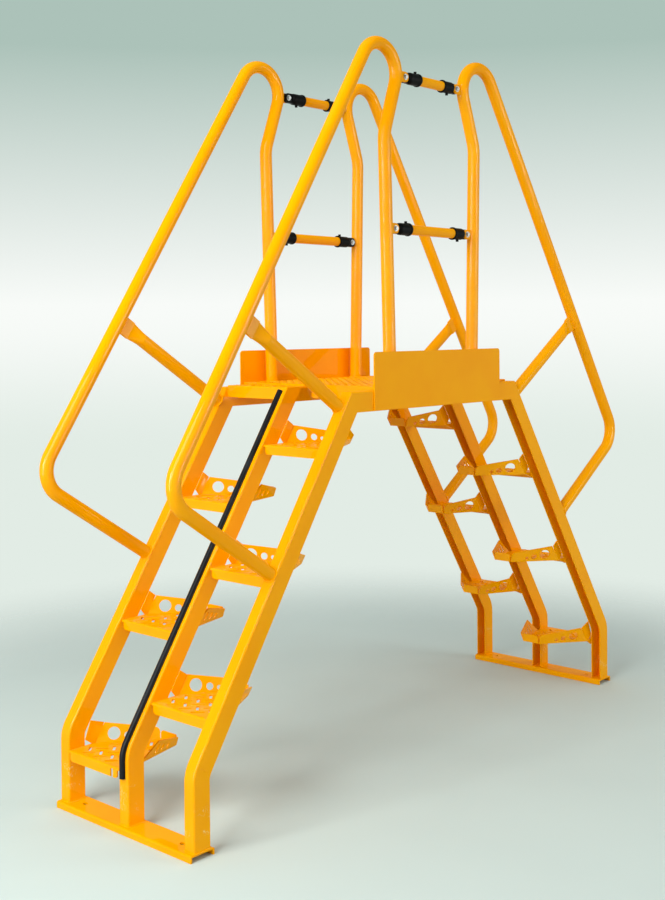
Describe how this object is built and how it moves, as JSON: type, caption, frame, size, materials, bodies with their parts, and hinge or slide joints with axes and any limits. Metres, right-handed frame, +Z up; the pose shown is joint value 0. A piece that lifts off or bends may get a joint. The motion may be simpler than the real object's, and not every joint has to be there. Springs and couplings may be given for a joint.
{
  "type": "alternating tread crossover ladder",
  "caption": "Free-standing crossover ladder with two alternating-tread flights on channel stringers, a tread-plate platform with toe boards, and looped tube handrails.",
  "frame": {"origin": "on the floor, under the middle of the platform", "axes": "+X along the crossing towards the east flight, +Y across the ladder towards the far side, +Z up"},
  "size_m": [2.3788, 0.6166, 2.3764],
  "materials": {
    "yellow_paint": "gloss powder coat",
    "black_rubber": "satin",
    "black_plastic": "matte"
  },
  "bodies": {
    "root": {"bar_sockets_far_mid": "black_plastic", "bar_sockets_far_top": "black_plastic", "bar_sockets_near_mid": "black_plastic", "bar_sockets_near_top": "black_plastic", "base_channel_east": "yellow_paint", "base_channel_west": "yellow_paint", "cross_bar_far_mid": "yellow_paint", "cross_bar_far_top": "yellow_paint", "cross_bar_near_mid": "yellow_paint", "cross_bar_near_top": "yellow_paint", "handrail_brace_east_left": "yellow_paint", "handrail_brace_east_right": "yellow_paint", "handrail_brace_west_left": "yellow_paint", "handrail_brace_west_right": "yellow_paint", "handrail_east_left": "yellow_paint", "handrail_east_right": "yellow_paint", "handrail_west_left": "yellow_paint", "handrail_west_right": "yellow_paint", "platform_beam_far": "yellow_paint", "platform_beam_near": "yellow_paint", "platform_deck": "yellow_paint", "platform_plate": "yellow_paint", "rubber_strip_east": "black_rubber", "rubber_strip_west": "black_rubber", "stringer_east_centre": "yellow_paint", "stringer_east_left": "yellow_paint", "stringer_east_right": "yellow_paint", "stringer_west_centre": "yellow_paint", "stringer_west_left": "yellow_paint", "stringer_west_right": "yellow_paint", "toe_board_far": "yellow_paint", "toe_board_near": "yellow_paint", "tread_east_1": "yellow_paint", "tread_east_2": "yellow_paint", "tread_east_3": "yellow_paint", "tread_east_4": "yellow_paint", "tread_east_5": "yellow_paint", "tread_east_6": "yellow_paint", "tread_west_1": "yellow_paint", "tread_west_2": "yellow_paint", "tread_west_3": "yellow_paint", "tread_west_4": "yellow_paint", "tread_west_5": "yellow_paint", "tread_west_6": "yellow_paint"}
  },
  "joints": []
}
